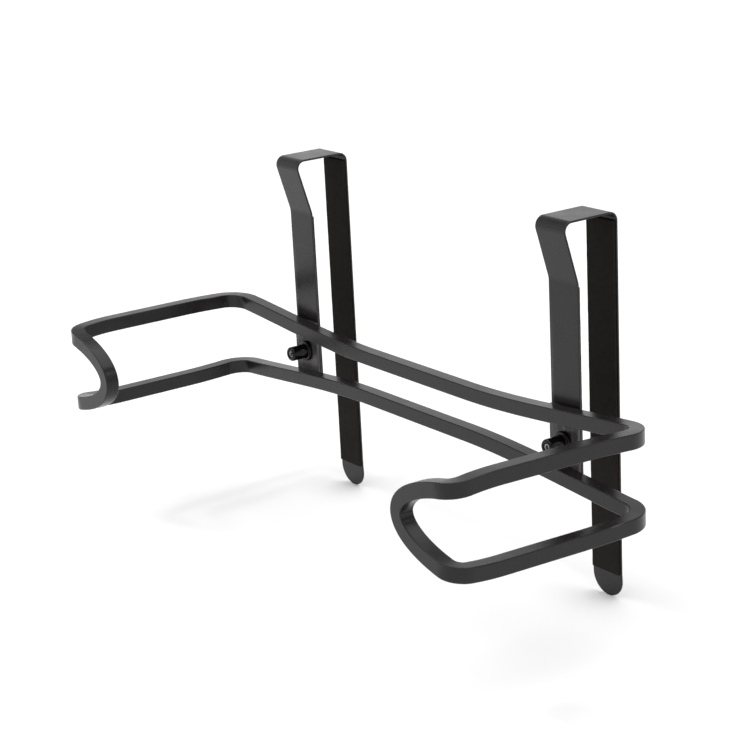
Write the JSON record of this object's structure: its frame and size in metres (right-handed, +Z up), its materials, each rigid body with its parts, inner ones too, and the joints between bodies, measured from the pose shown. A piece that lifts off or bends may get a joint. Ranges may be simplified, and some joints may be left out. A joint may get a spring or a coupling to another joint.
{
  "type": "over-door bag holder",
  "caption": "Bent bar loop with two strap hooks that hang it on a cabinet door; screws clamp it, and a bag's mouth hangs over its arms.",
  "frame": {"origin": "the door's front top edge, midway between the two hooks: where the plane of the hooks' undersides meets the plane of the front legs' liners", "axes": "+X to the right as the user faces the door, +Y into the cabinet through the door's thickness, +Z up"},
  "size_m": [0.3236, 0.1354, 0.1834],
  "materials": {
    "powder_coat": "satin black powder coat",
    "liner": "matte closed-cell foam",
    "sleeve": "gloss black moulded nylon",
    "screw_steel": "dark blackened steel",
    "cap_rubber": "matte rubber"
  },
  "bodies": {
    "holder": {"frame_loop": "powder_coat", "left_hook": "powder_coat", "left_front_liner": "liner", "left_rear_liner": "liner", "left_nut_plate": "powder_coat", "left_threaded_sleeve": "sleeve", "left_weld_beads": "powder_coat", "right_hook": "powder_coat", "right_front_liner": "liner", "right_rear_liner": "liner", "right_nut_plate": "powder_coat", "right_threaded_sleeve": "sleeve", "right_weld_beads": "powder_coat"},
    "left_cap": {"left_tip_cap": "cap_rubber"},
    "left_screw": {"left_clamp_screw": "screw_steel"},
    "right_cap": {"right_tip_cap": "cap_rubber"},
    "right_screw": {"right_clamp_screw": "screw_steel"}
  },
  "joints": [
    {"name": "left_clamp_travel", "type": "slide", "parent": "holder", "child": "left_cap", "axis": [0, 1, 0], "range_m": [0, 0.0063]},
    {"name": "left_screw_turn", "type": "hinge", "parent": "left_cap", "child": "left_screw", "pos_m": [-0.10075, -0.01, -0.1013], "axis": [0, 1, 0], "range_deg": [0, 3240]},
    {"name": "right_clamp_travel", "type": "slide", "parent": "holder", "child": "right_cap", "axis": [0, 1, 0], "range_m": [0, 0.0063]},
    {"name": "right_screw_turn", "type": "hinge", "parent": "right_cap", "child": "right_screw", "pos_m": [0.10075, -0.01, -0.1013], "axis": [0, 1, 0], "range_deg": [0, 3240]}
  ],
  "couplings": [
    {"joint": "left_screw_turn", "follows": "left_clamp_travel", "rad_per_m": 8976},
    {"joint": "right_screw_turn", "follows": "right_clamp_travel", "rad_per_m": 8976}
  ]
}
